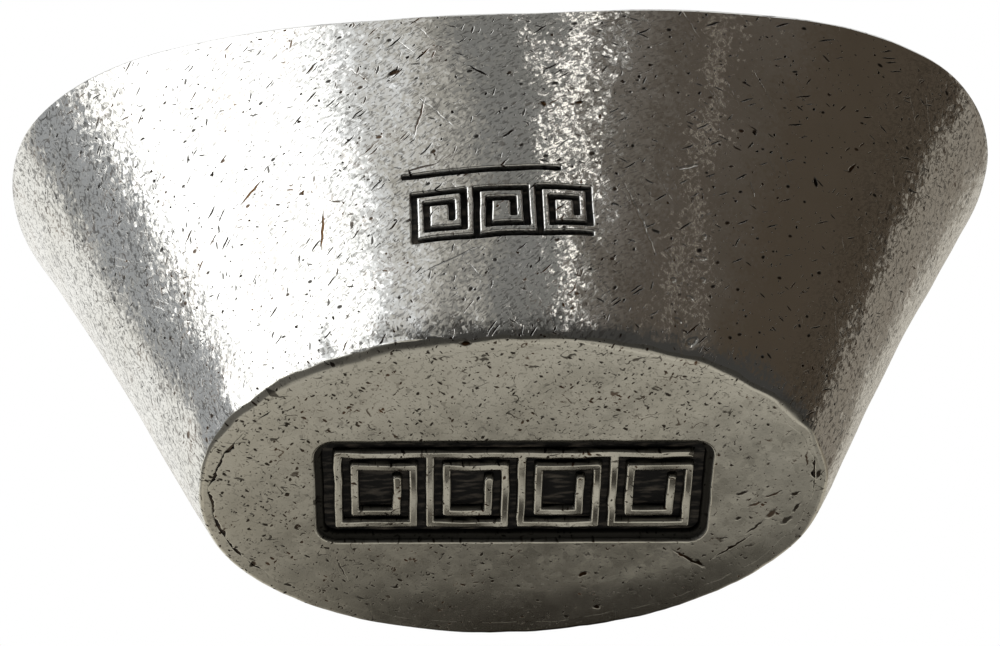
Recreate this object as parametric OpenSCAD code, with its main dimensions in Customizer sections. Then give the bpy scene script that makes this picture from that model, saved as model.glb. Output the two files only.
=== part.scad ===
// Boat-shaped silver ingot, a flared oval wall closed by a plate at the foot and a dished pan at the top.
// Millimetres. X runs along the length, Z is up, and the origin is the middle of the foot.

/* [Body] */
// Length over the two ears, before their edge is bevelled
body_length = 72; // [64:0.5:84]
// Height of the ears
ear_height = 33.5; // [30:0.5:38]
// Height of the rim at mid-length
waist_height = 25; // [22:0.5:28]
// Length of the foot
foot_length = 40; // [36:0.5:46]
// Width of the foot
foot_width = 25.5; // [23:0.5:30]
// Depth of the hollow curve in the flared wall
flare_bow = 0.4; // [0.2:0.05:0.8]
// Bevel on the edge of the foot
foot_bevel = 0.35; // [0.2:0.05:0.6]

/* [Wall] */
// Thickness of the wall at the foot
wall_foot = 3; // [2.6:0.1:3.6]
// Thickness of the wall at the rim
rim_land = 1.6; // [1.2:0.1:2.2]
// Bevel on the outer edge of the rim
rim_bevel = 0.3; // [0.15:0.05:0.5]
// Lip of the wall left round the foot plate
foot_lip = 0.8; // [0.6:0.05:1.1]

/* [Seams] */
// Width of the soldered seams
seam_width = 0.25; // [0.2:0.05:0.4]
// How far the solder lies below the faces beside it
seam_recess = 0.15; // [0.05:0.05:0.3]

/* [Foot plate] */
// Thickness of the foot plate
plate_thickness = 2.2; // [1.8:0.1:3]
// Length of the sunk panel
panel_length = 25; // [22:0.5:27]
// Width of the sunk panel
panel_width = 8.6; // [7.6:0.1:9.6]
// Turn of the panel against the length of the foot, in degrees
panel_turn = 3; // [-4:0.5:4]
// Corner radius of the sunk panel
panel_corner = 1.3; // [0.9:0.1:1.8]
// Depth of the narrow step round the panel
step_depth = 0.35; // [0.2:0.05:0.5]
// Width of the narrow step round the panel
step_width = 0.45; // [0.3:0.05:0.6]
// Depth of the floor of the panel
panel_depth = 0.9; // [0.7:0.05:1.2]
// Thickness of the black layer on the floor
black_layer = 0.2; // [0.15:0.05:0.3]

/* [Raised fret] */
// Number of spirals in the panel
fret_count = 4; // [3:1:4]
// Distance from one spiral to the next
fret_spacing = 5.8; // [5.6:0.05:5.9]
// Width of the fret across the panel
fret_width = 6.5; // [6.2:0.1:6.8]
// Width of a raised line
fret_line = 0.55; // [0.45:0.05:0.6]
// Gap between raised lines
fret_gap = 0.5; // [0.4:0.05:0.6]
// Height of the raised lines above the floor
fret_height = 0.75; // [0.5:0.05:0.85]

/* [Struck mark] */
// Number of spirals in the mark
mark_count = 3; // [2:1:3]
// Distance from one spiral to the next
mark_spacing = 3.9; // [3.7:0.05:4.1]
// Width of the mark up the wall
mark_rise = 3.9; // [3.6:0.1:4.2]
// Width of a struck line
mark_line = 0.36; // [0.3:0.02:0.4]
// Gap between struck lines
mark_gap = 0.42; // [0.36:0.02:0.48]
// Depth of the mark below the wall at its middle
mark_depth = 0.85; // [0.8:0.05:1]
// Height of the middle of the mark above the foot
mark_height = 9.3; // [8:0.1:12]
// Length of the bar over the mark
bar_length = 10; // [8:0.5:11]
// Distance of the bar from the middle of the mark, up the wall
bar_rise = 3.1; // [2.8:0.1:3.6]
// Shift of the bar along the length
bar_shift = -1.2; // [-2:0.1:0]
// Thickness of the black layer in the mark
mark_black_layer = 0.15; // [0.1:0.05:0.2]

/* [Pan] */
// Depth of the pan below the rim at mid-length
pan_depth = 4.5; // [3.5:0.5:6]
// Thickness of the pan, straight down
pan_thickness = 1.8; // [1.4:0.1:2.4]
// Steepness of the pan towards its edge
pan_power = 2.4; // [1.8:0.1:2.8]

/* [Hidden] */
// Flats round an oval, up a wall and across the pan
oval_steps = 144;
wall_steps = 5;
pan_steps = 9;
corner_steps = 48;
// Overrun of a cut past the face it opens
over = 1;
// How far the raised fret is rooted in the plate below the floor
fret_root = 0.2;

silver = [0.72, 0.71, 0.68];
base_silver = [0.6, 0.59, 0.55];
solder_grey = [0.3, 0.29, 0.27];
soot_black = [0.08, 0.075, 0.07];

ear_radius = body_length / 2;
foot_radius = foot_length / 2;
angles = [for (i = [0 : oval_steps - 1]) i * 360 / oval_steps];

// Half length of a flared oval at a height, from its size at the foot and at the ears
function flare(foot, ear, z) =
    let (s = z / ear_height)
    foot + (ear - foot) * s - 4 * flare_bow * s * (1 - s);
// Height of the rim at an angle round the oval
function rim_at(t) = waist_height + (ear_height - waist_height) * pow(cos(t), 2);
function oval_point(half_length, half_width, t, z) = [half_length * cos(t), half_width * sin(t), z];
function between(a, b, share) = a + (b - a) * share;

// Width over length of the outside, the hollow and the pan
outer_oval = foot_width / foot_length;
hollow_foot = foot_radius - wall_foot;
hollow_ear = ear_radius - rim_land;
waist_outer = flare(foot_radius, ear_radius, waist_height);
waist_hollow = flare(hollow_foot, hollow_ear, waist_height);
waist_half_width = waist_outer * outer_oval;
hollow_oval = (waist_half_width - rim_land) / waist_hollow;
pan_oval = (waist_half_width - rim_land - seam_width) / (waist_hollow - seam_width);

// Foot plate and its pocket
pocket_half_length = foot_radius - foot_lip;
pocket_half_width = foot_width / 2 - foot_lip;
plate_half_length = pocket_half_length - seam_width;
plate_half_width = pocket_half_width - seam_width;
floor_length = panel_length - 2 * step_width;
floor_width = panel_width - 2 * step_width;
floor_corner = panel_corner - step_width;

// Place of the struck mark on the wall
mark_half_width = flare(foot_radius, ear_radius, mark_height) * outer_oval;
mark_step = flare(foot_radius, ear_radius, mark_height + over) * outer_oval - mark_half_width;
mark_lean = atan(mark_step / over);

// Points of the outside, the hollow and the pan's edge at an angle and height
function outer_point(t, z) =
    let (r = flare(foot_radius, ear_radius, z))
    oval_point(r, r * outer_oval, t, z);
function hollow_point(t, z) =
    let (r = flare(hollow_foot, hollow_ear, z))
    oval_point(r, r * hollow_oval, t, z);
function pan_edge_point(t, z) =
    let (r = flare(hollow_foot, hollow_ear, z) - seam_width)
    oval_point(r, r * pan_oval, t, z);

// One closed outline of the wall, from the pocket up the outside and down the hollow
function wall_section(t) =
    let (
        rim = rim_at(t),
        shoulder = rim - rim_bevel,
        seat = rim - pan_thickness,
        top = flare(foot_radius, ear_radius, rim)
    )
    concat(
        [
            oval_point(pocket_half_length, pocket_half_width, t, 0),
            oval_point(foot_radius - foot_bevel, foot_radius * outer_oval - foot_bevel, t, 0)
        ],
        [for (j = [0 : wall_steps]) outer_point(t, between(foot_bevel, shoulder, j / wall_steps))],
        [
            oval_point(top - rim_bevel, top * outer_oval - rim_bevel, t, rim),
            hollow_point(t, rim)
        ],
        [for (j = [0 : wall_steps]) hollow_point(t, between(seat, plate_thickness, j / wall_steps))],
        [oval_point(pocket_half_length, pocket_half_width, t, plate_thickness)]
    );

// One closed outline of the solder between the wall and the pan
function rim_solder_section(t) =
    let (
        rim = rim_at(t),
        seat = rim - pan_thickness,
        share = seam_recess / pan_thickness
    )
    [
        hollow_point(t, seat),
        between(hollow_point(t, rim), hollow_point(t, seat), share),
        between(pan_edge_point(t, rim), pan_edge_point(t, seat), share),
        pan_edge_point(t, seat)
    ];

// One oval row of the pan, share 1 at its edge and 0 at its middle
function pan_row(share, drop) = [
    for (t = angles)
        let (
            edge = pan_edge_point(t, rim_at(t) - drop),
            middle = waist_height - pan_depth,
            z = middle + (rim_at(t) - middle) * pow(share, pan_power) - drop
        )
        [edge[0] * share, edge[1] * share, z]
];

// Solid swept round the oval from closed outlines, one for each angle
module swept_ring(sections) {
    m = len(sections[0]);
    n = len(sections);
    polyhedron(
        points = [for (s = sections) each s],
        faces = [
            for (i = [0 : n - 1])
                for (j = [0 : m - 1])
                    let (
                        a = i * m + j,
                        b = i * m + (j + 1) % m,
                        c = ((i + 1) % n) * m + (j + 1) % m,
                        d = ((i + 1) % n) * m + j
                    )
                    each [[a, b, c], [a, c, d]]
        ]
    );
}

// Solid between oval rows, closed by a point at each end
module swept_disc(rows, first, last) {
    n = len(rows[0]);
    m = len(rows);
    tail = m * n + 1;
    polyhedron(
        points = concat([first], [for (r = rows) each r], [last]),
        faces = concat(
            [for (i = [0 : n - 1]) [0, 1 + (i + 1) % n, 1 + i]],
            [
                for (k = [0 : m - 2])
                    for (i = [0 : n - 1])
                        let (
                            a = 1 + k * n + i,
                            b = 1 + k * n + (i + 1) % n,
                            c = b + n,
                            d = a + n
                        )
                        each [[a, b, c], [a, c, d]]
            ],
            [for (i = [0 : n - 1]) [tail, tail - n + i, tail - n + (i + 1) % n]]
        )
    );
}

module oval_slab(half_length, half_width, height) {
    linear_extrude(height = height)
        polygon([for (t = angles) [half_length * cos(t), half_width * sin(t)]]);
}

module rounded_slab(length, width, corner, height) {
    linear_extrude(height = height) {
        square([length - 2 * corner, width], center = true);
        square([length, width - 2 * corner], center = true);
        for (x = [-1, 1])
            for (y = [-1, 1])
                translate([x * (length / 2 - corner), y * (width / 2 - corner)])
                    circle(r = corner, $fn = corner_steps);
    }
}

// Running fret of square spirals that hook over from one ground line, centred on the origin
module running_fret(count, spacing, width, line, gap) {
    pitch = line + gap;
    unit = spacing - gap;
    translate([-(count * spacing - gap) / 2, -width / 2]) {
        square([count * spacing - gap, line]);
        for (i = [0 : count - 1])
            translate([i * spacing, 0]) {
                square([line, width]);
                translate([0, width - line])
                    square([unit, line]);
                translate([unit - line, pitch])
                    square([line, width - pitch]);
                translate([pitch, pitch])
                    square([unit - pitch, line]);
                translate([pitch, pitch])
                    square([line, width - 2 * pitch]);
                translate([pitch, width - pitch - line])
                    square([unit - 2 * pitch, line]);
                translate([unit - pitch - line, 2 * pitch])
                    square([line, width - 3 * pitch]);
            }
    }
}

module fret_row() {
    running_fret(fret_count, fret_spacing, fret_width, fret_line, fret_gap);
}

module mark_row() {
    running_fret(mark_count, mark_spacing, mark_rise, mark_line, mark_gap);
    translate([bar_shift - bar_length / 2, bar_rise])
        square([bar_length, mark_line]);
}

// Struck lines standing on the flat floor of the mark, square to the wall
module mark_strokes(height) {
    translate([0, -mark_half_width, mark_height])
        rotate([90 + mark_lean, 0, 0])
            translate([0, 0, -mark_depth])
                linear_extrude(height = height)
                    mark_row();
}

module side_wall() {
    color(silver)
        difference() {
            swept_ring([for (t = angles) wall_section(t)]);
            mark_strokes(mark_depth + over);
        }
}

module base_plate() {
    color(base_silver) {
        difference() {
            oval_slab(plate_half_length, plate_half_width, plate_thickness);
            rotate([0, 0, panel_turn])
                translate([0, 0, -over]) {
                    rounded_slab(panel_length, panel_width, panel_corner, step_depth + over);
                    rounded_slab(floor_length, floor_width, floor_corner, panel_depth + over);
                }
        }
        rotate([0, 0, panel_turn])
            translate([0, 0, panel_depth - fret_height])
                linear_extrude(height = fret_height + fret_root)
                    fret_row();
    }
}

module base_solder() {
    color(solder_grey)
        translate([0, 0, seam_recess])
            difference() {
                oval_slab(pocket_half_length, pocket_half_width, plate_thickness - seam_recess);
                translate([0, 0, -over])
                    oval_slab(plate_half_length, plate_half_width, plate_thickness + 2 * over);
            }
}

module top_pan() {
    shares = [for (j = [1 : pan_steps]) j / pan_steps];
    backward = [for (j = [0 : pan_steps - 1]) 1 - j / pan_steps];
    middle = waist_height - pan_depth;
    color(silver)
        swept_disc(
            concat([for (s = shares) pan_row(s, 0)], [for (s = backward) pan_row(s, pan_thickness)]),
            [0, 0, middle],
            [0, 0, middle - pan_thickness]
        );
}

module rim_solder() {
    color(solder_grey)
        swept_ring([for (t = angles) rim_solder_section(t)]);
}

module panel_black() {
    color(soot_black)
        rotate([0, 0, panel_turn])
            translate([0, 0, panel_depth - black_layer])
                difference() {
                    rounded_slab(floor_length, floor_width, floor_corner, black_layer);
                    translate([0, 0, -over])
                        linear_extrude(height = black_layer + 2 * over)
                            fret_row();
                }
}

module mark_black() {
    color(soot_black)
        mark_strokes(mark_black_layer);
}

side_wall();
base_plate();
base_solder();
top_pan();
rim_solder();
panel_black();
mark_black();
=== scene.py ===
"""Boat-shaped silver ingot: a worn wall, foot plate and dished pan, with solder in the seams and black in the cuts.

Sizes are in millimetres unless a name says otherwise, and meshes are written in metres in the frame of the solids.
"""

import logging
import math
from dataclasses import dataclass, field
from enum import Enum

import bpy
import numpy as np
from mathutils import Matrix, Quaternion, Vector


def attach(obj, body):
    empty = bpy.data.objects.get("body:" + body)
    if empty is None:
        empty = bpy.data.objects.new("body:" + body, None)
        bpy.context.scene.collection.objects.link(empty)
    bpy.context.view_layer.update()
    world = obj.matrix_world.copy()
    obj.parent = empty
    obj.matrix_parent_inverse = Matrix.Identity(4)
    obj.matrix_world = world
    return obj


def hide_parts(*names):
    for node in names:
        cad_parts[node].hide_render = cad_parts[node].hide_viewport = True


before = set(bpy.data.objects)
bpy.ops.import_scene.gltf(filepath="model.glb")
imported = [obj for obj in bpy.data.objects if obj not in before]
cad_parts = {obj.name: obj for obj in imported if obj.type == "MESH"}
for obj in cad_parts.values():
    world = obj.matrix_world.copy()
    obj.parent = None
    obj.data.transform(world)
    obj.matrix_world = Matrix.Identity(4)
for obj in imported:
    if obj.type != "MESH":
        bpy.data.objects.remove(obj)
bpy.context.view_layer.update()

MM = 0.001
SPREAD = "unrolled"
log = logging.getLogger("ingot")

Tree = bpy.types.NodeTree
Socket = bpy.types.NodeSocket
Pair = tuple[float, float]
Triple = tuple[float, float, float]
Values = np.ndarray | float


class Slot(Enum):
    """Names of two material slots of the record."""

    WORN_SILVER = "worn_silver"
    DULL_SILVER = "dull_silver"


class Zone(Enum):
    """Part of a piece that a blemish keeps to: all of it, round its ends, or its sides where they aren't rubbed."""

    ALL = "all"
    ENDS = "ends"
    SIDES = "sides"


def linear(hex_colour: str) -> tuple[float, float, float, float]:
    """Turns an sRGB hex colour into linear light by the standard curve.

    Args:
        hex_colour: Colour as "#rrggbb".

    Returns:
        Linear red, green and blue, and an alpha of 1.
    """
    parts = [int(hex_colour[i:i + 2], 16) / 255 for i in (1, 3, 5)]
    lit = [p / 12.92 if p <= 0.04045 else ((p + 0.055) / 1.055) ** 2.4 for p in parts]
    return (lit[0], lit[1], lit[2], 1.0)


def step(value: np.ndarray, low: float, high: float) -> np.ndarray:
    """Rises from 0 at low to 1 at high by the cubic 3s^2 - 2s^3; low may be the larger."""
    s = np.clip((value - low) / (high - low), 0, 1)
    return s * s * (3 - 2 * s)


def bell(turn: np.ndarray, middle: float, spread: float) -> np.ndarray:
    """Bell round an angle, exp(-(gap / spread)^2), with the gap taken the short way round."""
    gap = (turn - middle + np.pi) % (2 * np.pi) - np.pi
    return np.exp(-(gap / spread) ** 2)


@dataclass(frozen=True)
class Wave:
    """Smooth unevenness in space: its height, its middle wavelength, and the seed of its directions and phases.

    It has several parts, and between a fewest and a most waves of each fit in the middle wavelength.
    """

    height: float
    length: float
    seed: int
    parts: int = 14
    fit: Pair = (0.7, 1.5)

    def at(self, points: np.ndarray) -> np.ndarray:
        """Sums the cosines of plane waves in seeded directions, over the root of twice their number.

        Args:
            points: Places, last axis x, y, z.

        Returns:
            One value for each place, about -height to height.
        """
        rng = np.random.default_rng(self.seed)
        way = rng.normal(size=(self.parts, 3))
        fit = rng.uniform(*self.fit, self.parts)
        way *= (2 * np.pi / self.length * fit / np.linalg.norm(way, axis=1))[:, None]
        phase = rng.uniform(0, 2 * np.pi, self.parts)
        return self.height * np.cos(points @ way.T + phase).sum(-1) / math.sqrt(2 * self.parts)


Waves = tuple[Wave, ...]


def unevenness(points: np.ndarray, waves: Waves) -> np.ndarray:
    """Sum of several waves at each place."""
    return sum(wave.at(points) for wave in waves)


def box_distance(x: np.ndarray, y: np.ndarray, half: Pair, corner: float) -> np.ndarray:
    """Signed distance to a centred oblong with rounded corners, negative inside.

    Args:
        x: Places along the length.
        y: Places across the width.
        half: Half length and half width.
        corner: Corner radius.

    Returns:
        Distances in the units of x and y.
    """
    dx = np.abs(x) - half[0] + corner
    dy = np.abs(y) - half[1] + corner
    outside = np.hypot(np.maximum(dx, 0), np.maximum(dy, 0))
    return outside + np.minimum(np.maximum(dx, dy), 0) - corner


def oval_row(turn: np.ndarray, half_length: Values, half_width: Values, z: Values) -> np.ndarray:
    """Places on ovals at the given angles: half length times cosine, half width times sine, and the height."""
    parts = np.broadcast_arrays(np.cos(turn) * half_length, np.sin(turn) * half_width, z)
    return np.stack(parts, axis=-1)


@dataclass(frozen=True)
class IngotForm:
    """Sizes of the ingot's body, shared by all its pieces."""

    ear_radius: float = 36.0
    ear_height: float = 33.5
    waist_height: float = 25.0
    foot_radius: float = 20.0
    foot_half_width: float = 12.75
    bow: float = 0.4
    wall_foot: float = 3.0
    rim_land: float = 1.6
    foot_lip: float = 0.8
    seam: float = 0.25
    plate_thickness: float = 2.2
    pan_depth: float = 4.5
    pan_thickness: float = 1.8
    pan_power: float = 2.4
    panel_turn: float = math.radians(3)
    # Worn foot: a roll at its edge, wider and deeper at the far heel, and slow waves
    roll_width: float = 2.0
    roll_drop: float = 0.015
    roll_most: float = 1.2
    least_share: float = 0.05
    heel_width: float = 5.0
    heel_drop: float = 0.12
    heel_levels: Pair = (0.2, 0.9)
    far_levels: Pair = (-0.2, 0.5)
    foot_waves: Waves = (Wave(0.015, 11.0, 5), Wave(0.006, 3.2, 6))
    # Seam round the foot plate: rubbed shut but for its two ends
    seam_shut: float = 0.27
    seam_left: float = 0.14
    shut_share: float = 0.02
    open_left: tuple[float, int] = (1.1, 5)
    open_right: tuple[float, int] = (0.9, 45)
    open_right_turn: float = math.radians(-3)
    open_levels: Pair = (0.4, 0.9)
    open_wave: Wave = Wave(0.3, 1.6, 32)
    seam_waves: Waves = (Wave(0.12, 4.0, 33), Wave(0.1, 1.6, 34))
    # Wall above the foot: a tuck and dents along the front, and a bulge at the front left
    tuck: float = 0.24
    tuck_height: float = 2.6
    tuck_wave: Wave = Wave(0.3, 5.0, 64)
    dent_height: float = 7.0
    dent_waves: Waves = (Wave(0.14, 9.0, 61), Wave(0.09, 3.2, 62))
    bulge: float = 0.6
    bulge_turn: float = math.radians(-135)
    bulge_spread: float = math.radians(24)
    bulge_height: float = 8.0
    # Wall laid out flat
    girth_height: float = 12.0
    girth_points: int = 721
    lean_stretch: float = 1.1

    @property
    def oval(self) -> float:
        """Width over length of the outside."""
        return self.foot_half_width / self.foot_radius

    @property
    def pocket(self) -> Pair:
        """Half length and half width of the pocket in the foot."""
        return self.foot_radius - self.foot_lip, self.foot_half_width - self.foot_lip

    def flare(self, foot: float, ear: float, z: np.ndarray) -> np.ndarray:
        """Half length at a height: a straight flare from foot to ear, less a shallow parabola, 4 bow s (1 - s)."""
        s = z / self.ear_height
        return foot + (ear - foot) * s - 4 * self.bow * s * (1 - s)

    def outer(self, z: np.ndarray) -> np.ndarray:
        """Half length of the outside at a height."""
        return self.flare(self.foot_radius, self.ear_radius, z)

    def hollow(self, z: np.ndarray) -> np.ndarray:
        """Half length of the hollow at a height."""
        return self.flare(self.foot_radius - self.wall_foot, self.ear_radius - self.rim_land, z)

    def rim(self, t: np.ndarray) -> np.ndarray:
        """Height of the rim at an angle: the waist plus the ears' rise times cos^2."""
        return self.waist_height + (self.ear_height - self.waist_height) * np.cos(t) ** 2

    def inner_oval(self, gap: float) -> float:
        """Width over length of an oval that lies a gap inside the hollow at the waist."""
        waist = self.outer(np.float64(self.waist_height)) * self.oval - self.rim_land - gap
        return float(waist / (self.hollow(np.float64(self.waist_height)) - gap))

    def foot_edge(self, t: np.ndarray) -> np.ndarray:
        """Places on the foot's oval edge at the given angles."""
        return oval_row(t, self.foot_radius, self.foot_half_width, 0.0)

    def far_side(self, t: np.ndarray) -> np.ndarray:
        """Share of the far side at an angle, 0 in front and 1 behind."""
        return step(np.sin(t), *self.far_levels)

    def seam_open(self, t: np.ndarray) -> np.ndarray:
        """How far the foot's seam lies open: a power of the cosine at each end, plus a wave, through a step.

        Args:
            t: Angles round the oval.

        Returns:
            Shares from 0, rubbed shut, to 1.
        """
        most, power = self.open_left
        left = most * np.maximum(-np.cos(t), 0) ** power
        most, power = self.open_right
        right = most * np.maximum(np.cos(t - self.open_right_turn), 0) ** power
        return step(self.open_wave.at(self.foot_edge(t)) + left + right, *self.open_levels)

    def seam_cover(self, t: np.ndarray) -> np.ndarray:
        """Metal rubbed over the foot's seam, shared by its two edges."""
        return self.seam_shut + (self.seam - self.seam_left - self.seam_shut) * self.seam_open(t)

    def seam_round(self, radius: float, t: np.ndarray) -> np.ndarray:
        """Radius of an edge of the foot's seam: whole where it is open, and next to nothing where it is shut."""
        return radius * (self.shut_share + (1 - self.shut_share) * self.seam_open(t))

    def seam_stray(self, t: np.ndarray) -> np.ndarray:
        """How far the seam strays outwards from its oval, as two waves of different length."""
        return unevenness(self.foot_edge(t), self.seam_waves)

    def shoulder(self, z: np.ndarray, t: np.ndarray) -> np.ndarray:
        """How far the wall stands out near the foot: a bell at the front left, less a dented tuck along the front.

        Args:
            z: Heights.
            t: Angles round the oval.

        Returns:
            Distances outwards; the bell and the dents fade up the wall, and the tuck is a parabola in height.
        """
        edge = self.foot_edge(t)
        dents = unevenness(edge, self.dent_waves) * step(z, self.dent_height, 0.0)
        bulge = self.bulge * bell(t, self.bulge_turn, self.bulge_spread) * step(z, self.bulge_height, 0.0)
        tall = self.tuck_height * (1 + self.tuck_wave.at(edge))
        tuck = self.tuck * np.clip(1 - z / tall, 0, 1) ** 2
        return bulge + (dents - tuck) * (1 - self.far_side(t))

    def foot_wear(self, x: np.ndarray, y: np.ndarray) -> np.ndarray:
        """Unevenness of the worn foot: slow waves, and a parabola that lifts the last millimetres to the edge.

        Args:
            x: Places along the length.
            y: Places across the width.

        Returns:
            Heights above the flat foot.
        """
        share = np.hypot(x / self.foot_radius, y / self.foot_half_width)
        inset = (1 - share) * np.hypot(x, y) / np.maximum(share, self.least_share)
        heel = step(y / self.foot_half_width, *self.heel_levels)
        width = self.roll_width + (self.heel_width - self.roll_width) * heel
        drop = self.roll_drop + (self.heel_drop - self.roll_drop) * heel
        roll = drop * np.clip(1 - inset / width, 0, self.roll_most) ** 2
        place = np.stack([x, y, np.zeros_like(x)], axis=-1)
        return roll + sum(wave.height for wave in self.foot_waves) + unevenness(place, self.foot_waves)

    def unroll(self, place: np.ndarray) -> tuple[np.ndarray, float]:
        """Lays the wall out flat: length along an oval by bearing, and length up the wall plus the way inwards.

        Args:
            place: Places on the wall.

        Returns:
            Flat places with the front in the middle, and the length of the whole oval.
        """
        turn = np.linspace(-np.pi, np.pi, self.girth_points)
        half = self.outer(np.float64(self.girth_height))
        speed = np.hypot(half * np.cos(turn), half * self.oval * np.sin(turn))
        run = np.concatenate([[0], np.cumsum((speed[1:] + speed[:-1]) / 2 * (turn[1] - turn[0]))])
        x, y, z = place[..., 0], place[..., 1] / self.oval, place[..., 2]
        along = np.interp(np.arctan2(x, -y), turn, run - run[-1] / 2)
        up = self.lean_stretch * z + self.outer(z) - np.hypot(x, y)
        return np.stack([along, up], axis=-1), float(run[-1])


@dataclass(frozen=True)
class FretRow:
    """Running fret of square spirals that hook over from one ground line."""

    count: int
    spacing: float
    width: float
    line: float
    gap: float

    def boxes(self) -> np.ndarray:
        """Oblongs of the lines.

        Returns:
            One row for each oblong: x, y of its lower left corner, then its length and width.
        """
        pitch = self.line + self.gap
        unit = self.spacing - self.gap
        one = np.array([
            (0, 0, self.line, self.width),
            (0, self.width - self.line, unit, self.line),
            (unit - self.line, pitch, self.line, self.width - pitch),
            (pitch, pitch, unit - pitch, self.line),
            (pitch, pitch, self.line, self.width - 2 * pitch),
            (pitch, self.width - pitch - self.line, unit - 2 * pitch, self.line),
            (unit - pitch - self.line, 2 * pitch, self.line, self.width - 3 * pitch),
        ])
        run = self.count * self.spacing - self.gap
        rows = [one + (i * self.spacing, 0, 0, 0) for i in range(self.count)]
        rows.append(np.array([(0, 0, run, self.line)]))
        return np.concatenate(rows) - (run / 2, self.width / 2, 0, 0)


def lines_distance(x: np.ndarray, y: np.ndarray, boxes: np.ndarray, corner: float) -> np.ndarray:
    """Signed distance to the nearest of several oblongs, negative inside.

    Args:
        x: Places along the row.
        y: Places across the row.
        boxes: Oblongs as x, y, length and width.
        corner: Radius of the worn ends.

    Returns:
        Distances in millimetres.
    """
    nearest = np.full(x.shape, np.inf)
    for left, low, length, width in boxes:
        half = (length / 2, width / 2)
        away = box_distance(x - left - half[0], y - low - half[1], half, corner)
        nearest = np.minimum(nearest, away)
    return nearest


@dataclass
class Skin:
    """Points and faces of one closed mesh, gathered sheet by sheet."""

    points: list[np.ndarray] = field(default_factory=list)
    faces: list[np.ndarray] = field(default_factory=list)
    count: int = 0

    def lay(self, points: np.ndarray) -> np.ndarray:
        """Adds points of any grid shape.

        Args:
            points: Places in millimetres, last axis x, y, z.

        Returns:
            Their numbers, in the same grid shape.
        """
        flat = points.reshape(-1, 3)
        ids = np.arange(self.count, self.count + len(flat))
        self.points.append(flat)
        self.count += len(flat)
        return ids.reshape(points.shape[:-1])

    def weave(self, ids: np.ndarray, close_rows: bool = False, close_columns: bool = False) -> None:
        """Adds the four-sided faces of a grid; columns times rows point out of the face.

        Args:
            ids: Point numbers, rows by columns.
            close_rows: Joins the last row to the first.
            close_columns: Joins the last column to the first.
        """
        grid = np.concatenate([ids, ids[:1]]) if close_rows else ids
        grid = np.concatenate([grid, grid[:, :1]], axis=1) if close_columns else grid
        quad = [grid[:-1, :-1], grid[:-1, 1:], grid[1:, 1:], grid[1:, :-1]]
        self.faces.append(np.stack(quad, axis=-1).reshape(-1, 4))

    def cap(self, ring: np.ndarray, middle: np.ndarray) -> None:
        """Closes a ring of points with triangles to one middle point.

        Args:
            ring: Point numbers in the order that faces outwards.
            middle: Place of the middle point.
        """
        tip = self.lay(middle.reshape(1, 3))
        tips = np.full(len(ring), tip[0])
        self.faces.append(np.stack([ring, np.roll(ring, -1), tips], axis=-1))

    def plan(self) -> np.ndarray:
        """Flat places of the faces' corners as they are seen from below."""
        return np.concatenate(self.points)[np.concatenate([f.ravel() for f in self.faces]), :2]

    def build(
        self, name: str, slot: Slot, node: str, shares: dict[str, np.ndarray], spread: np.ndarray
    ) -> bpy.types.Object:
        """Writes the mesh, in metres, and puts it in the place of a solid.

        Args:
            name: Name of the piece.
            slot: Material slot of the record; not used.
            node: Solid that the piece stands for.
            shares: Values for each point, by the name that the finish reads.
            spread: Flat place, in millimetres, of each corner of the faces in turn.

        Returns:
            The piece, riding on the ingot's one body.
        """
        mesh = bpy.data.meshes.new(name)
        sizes = np.concatenate([np.full(len(f), f.shape[1]) for f in self.faces])
        corners = np.concatenate([f.ravel() for f in self.faces])
        mesh.vertices.add(self.count)
        mesh.vertices.foreach_set("co", (np.concatenate(self.points) * MM).astype(np.float32).ravel())
        mesh.loops.add(len(corners))
        mesh.loops.foreach_set("vertex_index", corners.astype(np.int32))
        mesh.polygons.add(len(sizes))
        mesh.polygons.foreach_set("loop_start", (np.cumsum(sizes) - sizes).astype(np.int32))
        mesh.polygons.foreach_set("use_smooth", np.ones(len(sizes), dtype=bool))
        mesh.update(calc_edges=True)
        for label, values in shares.items():
            layer = mesh.attributes.new(label, "FLOAT", "POINT")
            layer.data.foreach_set("value", values.astype(np.float32).ravel())
        mesh.uv_layers.new(name=SPREAD).data.foreach_set("uv", spread.astype(np.float32).ravel())
        piece = bpy.data.objects.new(name, mesh)
        bpy.context.scene.collection.objects.link(piece)
        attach(piece, "root")
        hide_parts(node)
        return piece


def add_node(
    tree: Tree, kind: str, inputs: dict[str | int, object] | None = None, output: str | int = 0,
    **settings: object,
) -> Socket | None:
    """Adds a shader node with its settings, and sets or links its sockets.

    Args:
        tree: Node tree that gets the node.
        kind: Type of the node, less the prefix that all shader nodes have.
        inputs: Socket names or numbers, each with a value or an output to link.
        output: Name or number of the output that is wanted.
        settings: Properties of the node.

    Returns:
        That output, or None if the node has none.
    """
    node = tree.nodes.new("ShaderNode" + kind)
    for name, value in settings.items():
        setattr(node, name, value)
    for key, value in (inputs or {}).items():
        if isinstance(value, Socket):
            tree.links.new(value, node.inputs[key])
        else:
            node.inputs[key].default_value = value
    return node.outputs[output] if node.outputs else None


def new_tree(name: str) -> tuple[bpy.types.Material, Tree]:
    """Starts a material.

    Args:
        name: Name of the material.

    Returns:
        The material and its empty node tree.
    """
    material = bpy.data.materials.new(name)
    material.use_nodes = True
    material.node_tree.nodes.clear()
    return material, material.node_tree


def lay_cells(tree: Tree, place: Socket, size: Pair, slant: float, middle: Pair = (0.0, 0.0)) -> Socket:
    """Measures flat places from a middle in cells of a length and width that rise at a slant in degrees."""
    turn = (0, 0, math.radians(slant))
    return add_node(tree, "Mapping", {
        "Vector": place, "Location": (*middle, 0), "Rotation": turn, "Scale": (*size, 1)}, vector_type="TEXTURE")


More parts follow.
